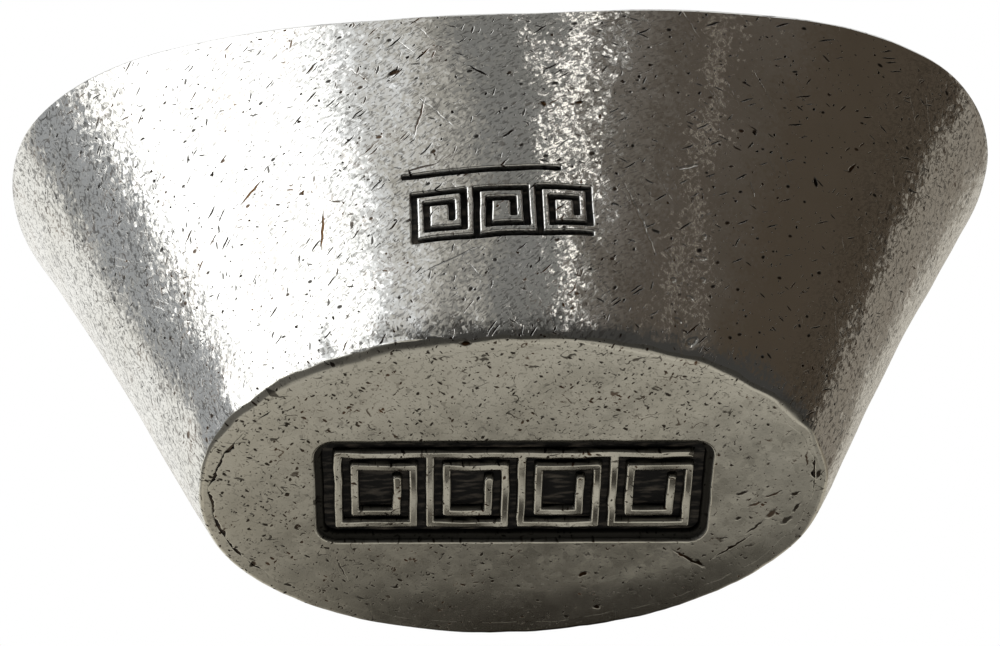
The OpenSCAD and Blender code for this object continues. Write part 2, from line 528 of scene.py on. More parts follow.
@dataclass(frozen=True, kw_only=True)
class Mark:
    """A kind of blemish: its depth, its shares of dirt and of rust in that, its zone, and whether it thins out."""

    depth: float
    dark: float
    rust: float = 0.0
    zone: Zone = Zone.ALL
    slant: float = 0.0
    patchy: bool = True

    def mask(self, tree: Tree, place: Socket) -> Socket:
        """Nodes of the blemish.

        Args:
            tree: Tree of the finish.
            place: Flat places in millimetres.

        Returns:
            Output that is 1 in the blemish and 0 outside.
        """
        raise NotImplementedError


@dataclass(frozen=True, kw_only=True)
class Fleck(Mark):
    """Short scratches of one slant: the cores of long cells, of which a share is kept."""

    size: Pair
    kept: float
    reach: float = 0.32
    soft: float = 0.1

    def mask(self, tree: Tree, place: Socket) -> Socket:
        """Nodes of the scratches: near the middle of a stretched cell whose own number is low.

        Args:
            tree: Tree of the finish.
            place: Flat places in millimetres.

        Returns:
            Output that is 1 in the scratches and 0 outside.
        """
        laid = lay_cells(tree, place, self.size, self.slant)
        cells = add_node(tree, "TexVoronoi", {"Vector": laid, "Scale": 1.0}, "Color", voronoi_dimensions="2D")
        number = add_node(tree, "SeparateColor", {0: cells})
        reach = add_node(tree, "MapRange", {
            "Value": number, "From Min": 0.0, "From Max": self.kept, "To Min": self.reach, "To Max": 0.0})
        core = add_node(tree, "Math", {0: reach, 1: cells.node.outputs["Distance"]}, operation="SUBTRACT")
        return add_node(tree, "MapRange", {"Value": core, "From Min": 0.0, "From Max": self.soft})


@dataclass(frozen=True, kw_only=True)
class Hair(Mark):
    """Curved hair scratches: the middle lines of a noise field, broken up by a second field."""

    size: Pair
    kept: float
    width: float
    curl: float = 0.4
    breaks: float = 1.3
    soft: float = 0.06

    def mask(self, tree: Tree, place: Socket) -> Socket:
        """Nodes of the scratches: where the first field crosses its middle and the second is high.

        Args:
            tree: Tree of the finish.
            place: Flat places in millimetres.

        Returns:
            Output that is 1 in the scratches and 0 outside.
        """
        laid = lay_cells(tree, place, self.size, self.slant)
        curls = add_node(tree, "TexNoise", {
            "Vector": laid, "Scale": 1.0, "Detail": 1.0, "Distortion": self.curl}, noise_dimensions="2D")
        off = add_node(tree, "Math", {0: curls, 1: 0.5}, operation="SUBTRACT")
        away = add_node(tree, "Math", {0: off}, operation="ABSOLUTE")
        line = add_node(tree, "MapRange", {"Value": away, "From Min": self.width, "From Max": self.width / 2})
        broken = add_node(tree, "TexNoise", {
            "Vector": laid, "Scale": self.breaks, "Detail": 0.0}, noise_dimensions="2D")
        low = 1 - self.kept
        kept = add_node(tree, "MapRange", {"Value": broken, "From Min": low, "From Max": low + self.soft})
        return add_node(tree, "Math", {0: line, 1: kept}, operation="MULTIPLY")


@dataclass(frozen=True, kw_only=True)
class Pit(Mark):
    """Pits of uneven outline: the peaks of a noise field above a level."""

    size: Pair
    level: float
    soft: float = 0.03

    def mask(self, tree: Tree, place: Socket) -> Socket:
        """Nodes of the pits: where the field rises above the level.

        Args:
            tree: Tree of the finish.
            place: Flat places in millimetres.

        Returns:
            Output that is 1 in the pits and 0 outside.
        """
        laid = lay_cells(tree, place, self.size, self.slant)
        peaks = add_node(tree, "TexNoise", {
            "Vector": laid, "Scale": 1.0, "Detail": 1.5, "Roughness": 0.6}, noise_dimensions="2D")
        return add_node(tree, "MapRange", {
            "Value": peaks, "From Min": self.level, "From Max": self.level + self.soft})


@dataclass(frozen=True, kw_only=True)
class Gouge(Mark):
    """One deep scratch at a set place: the inside of a long oval."""

    middle: Pair
    size: Pair
    patchy: bool = False
    soft: float = 0.4

    def mask(self, tree: Tree, place: Socket) -> Socket:
        """Nodes of the scratch: a ball round its middle, measured in half lengths and half widths.

        Args:
            tree: Tree of the finish.
            place: Flat places in millimetres.

        Returns:
            Output that is 1 in the scratch and 0 outside.
        """
        laid = lay_cells(tree, place, (self.size[0] / 2, self.size[1] / 2), self.slant, self.middle)
        near = add_node(tree, "TexGradient", {"Vector": laid}, "Fac", gradient_type="SPHERICAL")
        return add_node(tree, "MapRange", {"Value": near, "From Min": 0.0, "From Max": self.soft})


def gouges(*rows: tuple[float, ...]) -> tuple[Gouge, ...]:
    """Gouges from rows of depth, dirt, rust, place along and up, length, width and slant."""
    return tuple(
        Gouge(depth=depth, dark=dark, rust=rust, middle=(x, y), size=(length, width), slant=slant)
        for depth, dark, rust, x, y, length, width, slant in rows)


@dataclass(frozen=True)
class Facet:
    """Small flats that hand work leaves: the size of one in millimetres, its tilt, and the zone."""

    size: Pair
    tilt: float
    zone: Zone = Zone.ALL
    slant: float = 0.0


@dataclass(frozen=True)
class SilverFinish:
    """Cast silver with tarnish in clouds, small flats, grain and dents, and blemishes that hold brown dirt."""

    name: str
    silver: str
    tarnish: str
    dirt: str
    rust: str
    tarnish_most: float
    roughness: float
    # Grain and dents of the casting: size and depth
    grain: float
    grain_depth: float
    dent: float
    dent_depth: float
    facets: tuple[Facet, ...]
    marks: tuple[Mark, ...]
    # Dirt thins out along a way, from a start to an end, down to a least share
    dirt_way: Triple
    dirt_along: Triple
    # Swirl that bends the scratches: size and reach
    warp: Pair
    # Name of the piece's shares that are black
    cut: str
    # Clouds of tarnish, and how they and the swirl pull at the dirt
    cloud: float = 7.0
    cloud_levels: Pair = (0.35, 0.7)
    cloud_pull: float = -16.0
    dirt_pull: float = 1.2
    dirt_levels: Pair = (1.0, 1.2)
    rust_levels: Pair = (0.5, 0.7)
    # Zones, as lengths along the unrolled wall
    ends: Pair = (22.5, 43.5)
    ends_middle: float = 2.2
    rubbed: Pair = (8.5, 24.0)
    zone_soft: float = 2.5
    # Looks of the dirt and of the black in the cuts
    dirt_roughness: float = 0.3
    cut_black: str = "#0b0a08"
    cut_roughness: float = 0.7

    def zones(self, tree: Tree, place: Socket) -> dict[Zone, Socket]:
        """Nodes of the zones: the ends lie between two lengths to either side, and the rubbed part to one side.

        Args:
            tree: Tree of the finish.
            place: Flat places in millimetres.

        Returns:
            Share of the ends and of the sides at each place.
        """
        along = add_node(tree, "SeparateXYZ", {0: place}, "X")
        off = add_node(tree, "Math", {0: along, 1: self.ends_middle}, operation="SUBTRACT")
        out = add_node(tree, "Math", {0: off}, operation="ABSOLUTE")
        shares = []
        for value, (low, high) in ((out, self.ends), (along, self.rubbed)):
            rise = add_node(tree, "MapRange", {
                "Value": value, "From Min": low - self.zone_soft, "From Max": low + self.zone_soft})
            fall = add_node(tree, "MapRange", {
                "Value": value, "From Min": high + self.zone_soft, "From Max": high - self.zone_soft})
            shares.append(add_node(tree, "Math", {0: rise, 1: fall}, operation="MULTIPLY"))
        taken = add_node(tree, "Math", {0: shares[0], 1: shares[1]}, operation="MAXIMUM")
        sides = add_node(tree, "Math", {0: 1.0, 1: taken}, operation="SUBTRACT")
        return {Zone.ENDS: shares[0], Zone.SIDES: sides}

    def tipped(self, tree: Tree, place: Socket, zones: dict[Zone, Socket]) -> Socket:
        """Nodes of the flats: the normal leans by each cell's own colour, and far leans count for more.

        Args:
            tree: Tree of the finish.
            place: Flat places in millimetres.
            zones: Shares of the zones.

        Returns:
            Output with the leaning normal.
        """
        facing = add_node(tree, "NewGeometry", output="Normal")
        for facet in self.facets:
            laid = lay_cells(tree, place, facet.size, facet.slant)
            cells = add_node(tree, "TexVoronoi", {"Vector": laid, "Scale": 1.0}, "Color", voronoi_dimensions="2D")
            lean = add_node(tree, "VectorMath", {0: cells, 1: (0.5,) * 3}, operation="SUBTRACT")
            far = add_node(tree, "VectorMath", {0: lean}, "Value", operation="LENGTH")
            steep = add_node(tree, "Math", {0: far, 1: facet.tilt}, operation="MULTIPLY")
            share = add_node(tree, "Math", {0: zones.get(facet.zone, 1.0), 1: steep}, operation="MULTIPLY")
            lean = add_node(tree, "VectorMath", {0: lean, "Scale": share}, operation="SCALE")
            facing = add_node(tree, "VectorMath", {0: facing, 1: lean}, operation="ADD")
        return add_node(tree, "VectorMath", {0: facing}, operation="NORMALIZE")

    def make(self) -> bpy.types.Material:
        """Builds the material: tarnished silver, then dirt and rust in the blemishes, then black in the cuts.

        Returns:
            The material.
        """
        material, tree = new_tree(self.name)
        place = add_node(tree, "TexCoord", output="Object")
        flat = add_node(tree, "UVMap", uv_map=SPREAD)

        clouds = add_node(tree, "TexNoise", {
            "Vector": place, "Scale": 1 / (self.cloud * MM), "Detail": 4.0, "Roughness": 0.6})
        film = add_node(tree, "MapRange", {
            "Value": clouds, "From Min": self.cloud_levels[0], "From Max": self.cloud_levels[1],
            "To Min": 0.0, "To Max": self.tarnish_most})
        along = add_node(tree, "VectorMath", {0: place, 1: self.dirt_way}, "Value", operation="DOT_PRODUCT")
        drift = add_node(tree, "Math", {0: clouds, 1: self.cloud_pull * MM, 2: along}, operation="MULTIPLY_ADD")
        start, end, least = self.dirt_along
        share = add_node(tree, "MapRange", {
            "Value": drift, "From Min": start * MM, "From Max": end * MM, "To Min": 1.0, "To Max": least})

        swirl = add_node(tree, "TexNoise", {
            "Vector": flat, "Scale": 1 / self.warp[0], "Detail": 1.0}, noise_dimensions="2D")
        picked = add_node(tree, "Math", {0: swirl, 1: self.dirt_pull, 2: share}, operation="MULTIPLY_ADD")
        dirty = add_node(tree, "MapRange", {
            "Value": picked, "From Min": self.dirt_levels[0], "From Max": self.dirt_levels[1]})
        bent = add_node(tree, "VectorMath", {
            0: swirl.node.outputs["Color"], 1: (self.warp[1],) * 3, 2: flat}, operation="MULTIPLY_ADD")
        zones = self.zones(tree, flat)
        grain = add_node(tree, "TexNoise", {
            "Vector": place, "Scale": 1 / (self.grain * MM), "Detail": 2.0, "Roughness": 0.6})
        dents = add_node(tree, "TexNoise", {
            "Vector": place, "Scale": 1 / (self.dent * MM), "Detail": 3.0, "Roughness": 0.5})
        height = add_node(tree, "Math", {0: grain, 1: self.grain_depth}, operation="MULTIPLY")
        height = add_node(tree, "Math", {0: dents, 1: self.dent_depth, 2: height}, operation="MULTIPLY_ADD")
        dark = 0.0
        brown = add_node(tree, "MapRange", {
            "Value": dents, "From Min": self.rust_levels[0], "From Max": self.rust_levels[1]})
        for mark in self.marks:
            seen = mark.mask(tree, bent)
            if mark.zone in zones:
                seen = add_node(tree, "Math", {0: seen, 1: zones[mark.zone]}, operation="MULTIPLY")
            if mark.patchy:
                seen = add_node(tree, "Math", {0: seen, 1: dirty}, operation="MULTIPLY")
            height = add_node(tree, "Math", {0: seen, 1: -mark.depth, 2: height}, operation="MULTIPLY_ADD")
            held = add_node(tree, "Math", {0: seen, 1: mark.dark}, operation="MULTIPLY")
            dark = add_node(tree, "Math", {0: dark, 1: held}, operation="MAXIMUM")
            if mark.rust:
                red = add_node(tree, "Math", {0: seen, 1: mark.rust}, operation="MULTIPLY")
                brown = add_node(tree, "Math", {0: brown, 1: red}, operation="MAXIMUM")

        shade = add_node(tree, "Mix", {
            "Factor": film, 6: linear(self.silver), 7: linear(self.tarnish)}, 2, data_type="RGBA")
        soil = add_node(tree, "Mix", {
            "Factor": brown, 6: linear(self.dirt), 7: linear(self.rust)}, 2, data_type="RGBA")
        shade = add_node(tree, "Mix", {"Factor": dark, 6: shade, 7: soil}, 2, data_type="RGBA")
        depth = add_node(tree, "Attribute", output="Fac", attribute_name=self.cut)
        shade = add_node(tree, "Mix", {
            "Factor": depth, 6: shade, 7: linear(self.cut_black)}, 2, data_type="RGBA")
        rough = add_node(tree, "MapRange", {
            "Value": dark, "To Min": self.roughness, "To Max": self.dirt_roughness})
        rough = add_node(tree, "MapRange", {"Value": depth, "To Min": rough, "To Max": self.cut_roughness})
        bump = add_node(tree, "Bump", {
            "Strength": 1.0, "Distance": MM, "Height": height, "Normal": self.tipped(tree, bent, zones)})
        shader = add_node(tree, "BsdfPrincipled", {
            "Base Color": shade, "Metallic": 1.0, "Roughness": rough, "Normal": bump})
        add_node(tree, "OutputMaterial", {"Surface": shader})
        return material


@dataclass(frozen=True)
class CrustFinish:
    """Dull crust in a low place, darkened with age, with streaks where metal rubs through."""

    name: str
    dark: str
    rubbed: str
    rubbed_most: float
    metallic: float
    roughness: float
    streak: Triple
    lump: float
    lump_depth: float
    specular: float
    rub_levels: Pair = (0.48, 0.72)

    def make(self) -> bpy.types.Material:
        """Builds the material.

        Returns:
            The material.
        """
        material, tree = new_tree(self.name)
        place = add_node(tree, "TexCoord", output="Object")
        cell = tuple(s * MM for s in self.streak)
        drawn = add_node(tree, "Mapping", {"Vector": place, "Scale": cell}, vector_type="TEXTURE")
        streaks = add_node(tree, "TexNoise", {"Vector": drawn, "Scale": 1.0, "Detail": 4.0})
        rub = add_node(tree, "MapRange", {
            "Value": streaks, "From Min": self.rub_levels[0], "From Max": self.rub_levels[1],
            "To Max": self.rubbed_most})
        colour = add_node(tree, "Mix", {
            "Factor": rub, 6: linear(self.dark), 7: linear(self.rubbed)}, 2, data_type="RGBA")
        lumps = add_node(tree, "TexNoise", {"Vector": place, "Scale": 1 / (self.lump * MM), "Detail": 3.0})
        height = add_node(tree, "Math", {0: lumps, 1: self.lump_depth}, operation="MULTIPLY")
        bump = add_node(tree, "Bump", {"Strength": 1.0, "Distance": MM, "Height": height})
        shader = add_node(tree, "BsdfPrincipled", {
            "Base Color": colour, "Metallic": self.metallic, "Roughness": self.roughness,
            "Specular IOR Level": self.specular, "Normal": bump})
        add_node(tree, "OutputMaterial", {"Surface": shader})
        return material


# Cast silver, rubbed by hand: a soft mirror whose small flats break the light into grains, with dirt in every scratch
# and pit. The flats and hair scratches are drawn about twice as coarse as real ones, so that they show.
WALL_FINISH = SilverFinish(
    name="cast_silver_hand_rubbed",
    silver="#dededb", tarnish="#c6c4bb", dirt="#1c1814", rust="#5a4128", tarnish_most=0.45,
    roughness=0.1, grain=0.22, grain_depth=0.005, dent=2.4, dent_depth=0.04,
    facets=(
        Facet(size=(0.19, 0.25), tilt=0.13),
        Facet(size=(0.55, 0.6), tilt=0.05),
        Facet(size=(0.5, 0.22), tilt=0.18, zone=Zone.ENDS, slant=85),
    ),
    marks=(
        Hair(depth=0.002, dark=0.68, size=(0.38, 0.9), kept=0.62, width=0.05, zone=Zone.ENDS),
        Hair(depth=0.002, dark=0.4, size=(0.26, 0.5), slant=8, kept=0.52, width=0.07, zone=Zone.ENDS),
        Fleck(depth=0.002, dark=0.7, size=(0.9, 0.32), slant=86, kept=0.5, zone=Zone.ENDS),
        Hair(depth=0.001, dark=0.45, size=(0.6, 0.3), slant=40, kept=0.52, width=0.08, zone=Zone.SIDES),
        Fleck(depth=0.001, dark=0.6, size=(0.7, 0.18), slant=38, kept=0.6, reach=0.38, zone=Zone.SIDES),
        Fleck(depth=0.01, dark=0.95, size=(0.9, 0.7), slant=30, kept=0.14, reach=0.26),
        Fleck(depth=0.015, dark=1.0, size=(2.0, 0.22), slant=44, kept=0.1),
        Fleck(depth=0.015, dark=0.9, size=(1.3, 0.24), slant=74, kept=0.04),
        Fleck(depth=0.015, dark=0.9, size=(1.1, 0.24), slant=-20, kept=0.04),
        Fleck(depth=0.01, dark=0.0, size=(6.0, 0.22), slant=-58, kept=0.06),
        Pit(depth=0.015, dark=1.0, size=(0.45, 0.55), level=0.74),
        Pit(depth=0.01, dark=0.9, size=(0.26, 0.34), level=0.74),
        # Depth, dirt, rust, place along and up, length, width and slant of single scratches and nicks
        *gouges(
            (0.02, 1.0, 0.9, -15.7, 16.4, 2.6, 0.2, 35),
            (0.02, 1.0, 0.9, -11.8, 11.1, 3.7, 0.22, 76),
            (0.02, 0.9, 0.7, -4.5, 18.8, 3.4, 0.16, 72),
            (0.02, 0.9, 0.3, -4.7, 14.7, 2.6, 0.16, 8),
            (0.02, 0.7, 0.0, -3.7, 6.7, 5.2, 0.12, 25),
            (0.02, 0.0, 0.0, 9.3, 10.3, 6.2, 0.2, -64),
            (0.02, 1.0, 0.0, -0.9, 22.2, 1.8, 0.22, -45),
            (0.03, 1.0, 0.2, -5.6, 23.0, 1.0, 0.45, 24),
            (0.02, 1.0, 0.0, 2.8, 19.2, 0.6, 0.42, -65),
            (0.02, 1.0, 0.0, 4.9, 19.5, 0.62, 0.36, 14),
            (0.03, 1.0, 0.0, 20.3, 17.9, 0.9, 0.32, -68),
            (0.03, 1.0, 0.0, 22.4, 20.9, 1.4, 0.26, 72),
            (0.03, 1.0, 0.3, -28.1, 2.6, 0.8, 0.6, -20),
            (0.04, 0.0, 0.0, 14.4, 1.6, 0.9, 0.7, 20),
            (0.04, 0.0, 0.0, 13.1, 2.9, 0.8, 0.4, -20),
            (0.04, 0.0, 0.0, 13.6, 4.8, 0.6, 0.5, 0),
            (0.04, 0.0, 0.0, 12.2, 5.9, 0.5, 0.4, 30),
            (0.04, 0.0, 0.0, 14.3, 6.5, 0.6, 0.5, 60),
            (0.04, 0.0, 0.0, 13.9, 8.2, 1.0, 0.3, 0),
            (0.04, 0.0, 0.0, 13.8, 9.8, 0.6, 0.4, 60),
            (0.03, 0.0, 0.0, 11.9, 15.2, 1.8, 0.22, 32),
            (0.03, 0.0, 0.0, 16.3, 15.0, 1.3, 0.18, -65),
        ),
    ),
    dirt_way=(1, 0, 0), dirt_along=(-40.0, 40.0, 0.85), warp=(0.8, 0.2), cut="struck",
)
# Cast silver, left dull: an even warm grey with a low sheen, peppered with dark flecks and pits and a few deep cuts.
FOOT_FINISH = SilverFinish(
    name="cast_silver_dull",
    silver="#cfcdc3", tarnish="#b4b0a3", dirt="#241b12", rust="#5a3f28", tarnish_most=0.45,
    roughness=0.19, grain=0.2, grain_depth=0.001, dent=3.0, dent_depth=0.006,
    facets=(Facet(size=(0.5, 0.5), tilt=0.02),),
    marks=(
        Hair(depth=0.002, dark=0.8, size=(1.3, 1.0), kept=0.36, width=0.025),
        Hair(depth=0.0005, dark=0.3, size=(0.4, 0.4), kept=0.46, width=0.06),
        Fleck(depth=0.004, dark=0.95, size=(0.62, 0.32), slant=35, kept=0.2, reach=0.36),
        Fleck(depth=0.004, dark=0.95, size=(0.5, 0.26), slant=-50, kept=0.18, reach=0.36),
        Pit(depth=0.005, dark=0.95, size=(0.5, 0.36), level=0.73),
        Pit(depth=0.003, dark=0.9, size=(0.28, 0.24), level=0.72),
        # Depth, dirt, rust, place along and up, length, width and slant of single scratches and nicks
        *gouges(
            (0.015, 1.0, 0.0, 11.3, 6.6, 3.0, 0.3, 39),
            (0.015, 1.0, 0.0, 14.0, 5.7, 3.6, 0.22, -38),
            (0.015, 1.0, 0.0, 12.0, 7.0, 1.0, 0.36, 50),
            (0.015, 1.0, 0.0, 4.4, 7.6, 0.8, 0.36, -20),
            (0.015, 1.0, 0.0, 5.3, 10.7, 0.6, 0.5, -30),
            (0.015, 1.0, 0.0, -7.8, 8.1, 0.6, 0.26, 10),
            (0.01, 0.9, 0.0, -11.2, 6.2, 2.4, 0.14, 72),
            (0.015, 1.0, 0.0, -2.4, -12.2, 0.8, 0.3, 0),
            (0.01, 0.95, 0.0, 14.6, 1.0, 0.9, 0.32, -20),
            (0.01, 0.9, 0.0, 16.5, 2.9, 1.0, 0.5, -50),
            (0.01, 0.9, 0.0, 17.5, 3.5, 1.0, 0.5, -40),
            (0.01, 0.95, 0.0, 18.1, 2.4, 1.1, 0.3, -60),
            (0.01, 0.95, 0.0, 15.5, 4.0, 1.8, 0.22, -45),
            (0.01, 0.95, 0.0, 16.6, 1.2, 1.3, 0.26, -25),
            (0.01, 0.95, 0.0, 18.0, 1.2, 0.8, 0.28, -20),
            (0.01, 0.95, 0.0, 14.4, 3.2, 0.5, 0.34, -20),
            (0.01, 0.95, 0.0, 19.4, -0.4, 0.9, 0.36, -70),
            (0.01, 0.95, 0.0, 18.6, -1.7, 1.5, 0.16, 85),
            (0.01, 0.95, 0.0, 19.5, -2.6, 0.6, 0.3, 60),
            (0.01, 0.95, 0.0, -16.9, 5.5, 0.7, 0.45, -60),
            (0.01, 0.95, 0.0, -14.8, 7.5, 0.6, 0.3, 20),
            (0.01, 0.9, 0.0, 15.4, 2.0, 1.1, 0.24, -22),
        ),
    ),
    dirt_way=(1, 1.1, 0), dirt_along=(-26.0, 4.0, 0.5), warp=(0.45, 0.22), cut="sunk",
)
# Tin solder, aged: a dark brown crust in the seams, with a dull glint where it is rubbed.
SOLDER_FINISH = CrustFinish(
    name="tin_solder_aged", dark="#2a211a", rubbed="#6b5a48", rubbed_most=0.7, metallic=0.5, roughness=0.55,
    streak=(0.5, 0.5, 0.5), lump=0.3, lump_depth=0.05, specular=0.5,
)
# Black patina, matte: a near-black ground whose long streaks turn brown where the metal shows through.
BLACK_FINISH = CrustFinish(
    name="black_patina_matte", dark="#0b0a09", rubbed="#4c453b", rubbed_most=1.0, metallic=0.0, roughness=0.6,
    streak=(1.6, 0.35, 0.35), lump=0.25, lump_depth=0.05, specular=0.2,
)


@dataclass
class SideWall:
    """Flared oval wall with rounded edges, and the mark struck in its long side."""

    form: IngotForm
    finish: SilverFinish
    foot_finish: SilverFinish
    # Columns and rows, which are fine across the mark
    fine: float = 0.058
    fine_rows: float = 0.042
    fine_x: Pair = (-6.9, 6.6)
    fine_z: Pair = (6.9, 12.9)
    coarse_columns: int = 190
    low_rows: int = 22
    high_rows: int = 26
    even_x: Pair = (14.0, 8.0)
    even_low: Pair = (0.6, 6.0)
    even_high: Pair = (22.0, 14.0)
    level_height: float = 15.0
    far_off: float = 99.0
    settle_rounds: int = 4
    # Foot and rim
    foot_first: float = 0.72
    foot_round: float = 0.3
    heel_round: float = 0.18
    worn_turn: float = math.radians(-114)
    worn_spread: float = math.radians(15)
    worn_more: float = 1.1
    edge_waves: Waves = (Wave(0.4, 4.0, 63), Wave(0.25, 1.4, 65))
    edge_least: float = 0.3
    flat_margin: float = 0.03
    lip_round: float = 0.05
    pocket_step: float = 0.6
    rim_round: float = 0.4
    rim_waves: Waves = (Wave(0.3, 9.0, 41), Wave(0.2, 2.6, 42))
    rim_bevel: float = math.radians(13)
    bevel_right: float = 0.8
    bevel_wave: Wave = Wave(0.5, 6.0, 43)
    bevel_levels: Pair = (-0.4, 0.6)
    bevel_power: float = 0.25
    hollow_soft: float = 0.12
    hollow_drops: Pair = (0.15, 9.0)
    # Slow swell of the outside
    swell_waves: Waves = (Wave(0.06, 13.0, 11), Wave(0.02, 5.0, 12))
    swell_fade: Pair = (0.6, 3.0)
    swell_droop: float = 0.3
    # Struck mark
    mark: FretRow = FretRow(3, 3.9, 3.9, 0.36, 0.42)
    mark_height: float = 9.3
    mark_depth: float = 0.85
    mark_slope: Pair = (0.07, -0.1)
    mark_corner: float = 0.1
    mark_dish: float = 0.05
    dish_reach: float = 2.2
    mark_black: Pair = (0.08, -0.06)
    mark_shake: Wave = Wave(0.035, 4.0, 21)
    mark_sway: Wave = Wave(0.035, 4.0, 22)
    bar_length: float = 10.0
    bar_rise: float = 3.1
    bar_shift: float = -1.2

    def lean(self) -> float:
        """Lean of the wall at the mark, in radians."""
        low, high = self.form.outer(np.array([self.mark_height, self.mark_height + 1])) * self.form.oval
        return math.atan(high - low)

    def columns(self) -> np.ndarray:
        """Angles of the columns: even in length across the mark, even in angle elsewhere.

        Returns:
            Angles that rise through one full turn.
        """
        across = np.arange(self.fine_x[0], self.fine_x[1], self.fine)
        fine = -np.arccos(across / self.form.outer(np.float64(self.mark_height)))
        rest = np.linspace(fine[-1], fine[0] + 2 * np.pi, self.coarse_columns + 2)[1:-1]
        return np.concatenate([fine, rest])

    def rows(self) -> np.ndarray:
        """Heights of the outside rows as they are at the waist.

        Returns:
            Heights that rise from the foot's edge to the rim's edge.
        """
        low, high = self.fine_z
        return np.concatenate([
            np.linspace(self.foot_first, low, self.low_rows)[:-1],
            np.arange(low, high, self.fine_rows),
            np.linspace(high, self.form.waist_height - self.rim_round, self.high_rows),
        ])

    def outside(self, t: np.ndarray) -> tuple[np.ndarray, np.ndarray]:
        """Outer face: an oval that flares with height, with the struck lines pushed in to a flat floor.

        Columns keep their x across the mark, and rows keep their place up the wall there, so the lines run with the
        mesh. The rows fan out above a level height to follow the rim, which takes a few rounds to settle.

        Args:
            t: Angles of the columns.

        Returns:
            Places, rows by columns, and the share of each that lies in a struck line.
        """
        form = self.form
        lean = self.lean()
        rows = self.rows()[:, None]
        half = form.outer(np.float64(self.mark_height))
        half_width = float(half * form.oval)
        ahead = np.sin(t) < 0
        front = np.where(ahead, half * np.cos(t), self.far_off)
        even = step(np.abs(front), *self.even_x)
        bend = math.tan(lean) * half_width * (1 - np.sqrt(np.clip(1 - (front / half) ** 2, 0, 1)))
        low = rows + even * step(rows, *self.even_low) * step(rows, *self.even_high) * bend
        rise = step(rows, self.level_height, rows[-1, 0])
        kept = np.arccos(np.clip(front / half, -1, 1))
        turn = np.broadcast_to(t, low.shape)
        for _ in range(self.settle_rounds):
            z = low + (form.rim(turn) - form.waist_height) * rise
            radius = form.outer(z)
            turn = t + even * (kept - np.arccos(np.clip(front / radius, -1, 1)))
        place = oval_row(turn, radius, radius * form.oval, z)

        way = oval_row(turn, form.oval, 1.0, -self.swell_droop)
        way /= np.linalg.norm(way, axis=-1, keepdims=True)
        swell = unevenness(place, self.swell_waves) * step(rows, *self.swell_fade)
        place = place + way * swell[..., None]
        place += oval_row(turn, 1.0, 1.0, 0.0) * form.shoulder(rows, t)[..., None]

        up = np.array([0.0, -math.sin(lean), math.cos(lean)])
        out = np.array([0.0, -math.cos(lean), -math.sin(lean)])
        seat = place - np.array([0.0, -half_width, self.mark_height])
        bar = (self.bar_shift - self.bar_length / 2, self.bar_rise, self.bar_length, self.mark.line)
        boxes = np.concatenate([self.mark.boxes(), np.array([bar])])
        along = seat[..., 0] + self.mark_shake.at(place)
        away = lines_distance(along, seat @ up + self.mark_sway.at(place), boxes, self.mark_corner)
        away = np.where(ahead, away, self.far_off)
        sunk = step(away, *self.mark_slope)
        dish = self.mark_dish * step(away, self.dish_reach, 0.0)
        push = (-self.mark_depth - seat @ out) * sunk - dish * (1 - sunk)
        return place + push[..., None] * out, step(away, *self.mark_black)

    def underside(self, t: np.ndarray) -> tuple[np.ndarray, int]:
        """Rows from the pocket over the lip and the flat foot to the foot's edge, as quarter rounds and flats.

        Args:
            t: Angles of the columns.

        Returns:
            Places, rows by columns, and the number of rows that take the foot's finish.
        """
        form = self.form

        def foot_row(inset: np.ndarray, rise: np.ndarray) -> np.ndarray:
            """One row of the worn foot, an inset from its edge and a rise above it."""
            row = oval_row(t, form.foot_radius - inset, form.foot_half_width - inset, rise)
            row[:, 2] += form.foot_wear(row[:, 0], row[:, 1])
            return row

        long, wide = form.pocket
        stray = form.seam_cover(t) / 2 - form.seam_stray(t)
        lip = form.foot_lip + stray
        lip_round = form.seam_round(self.lip_round, t)
        rows = [
            oval_row(t, long, wide, form.plate_thickness),
            oval_row(t, long - stray, wide - stray, self.pocket_step),
        ]
        for a in np.radians([0, 30, 60, 90]):
            rows.append(foot_row(lip - lip_round * (1 - math.cos(a)), lip_round * (1 - math.sin(a))))
        out = form.shoulder(0 * t, t)
        edge = self.foot_round + (self.heel_round - self.foot_round) * form.far_side(t)
        worn = self.worn_more * bell(t, self.worn_turn, self.worn_spread)
        edge = edge * np.maximum(1 + unevenness(form.foot_edge(t), self.edge_waves) + worn, self.edge_least)
        edge = np.minimum(edge, lip - lip_round - 3 * self.flat_margin + out)
        rows.append(foot_row(lip - lip_round - self.flat_margin, 0 * t))
        rows.append(foot_row(edge - out + self.flat_margin, 0 * t))
        bends = np.radians([0, 12, 24, 36, 48, 60, 72, 84])
        foot_rows = len(rows) + len(bends) - 1
        for a in bends:
            rise = edge * (1 - math.cos(a))
            flared = form.outer(rise)
            out = form.shoulder(rise, t) - edge * (1 - math.sin(a))
            row = oval_row(t, flared + out, flared * form.oval + out, rise)
            row[:, 2] += form.foot_wear(row[:, 0], row[:, 1]) * math.cos(a)
            rows.append(row)
        return np.stack(rows), foot_rows

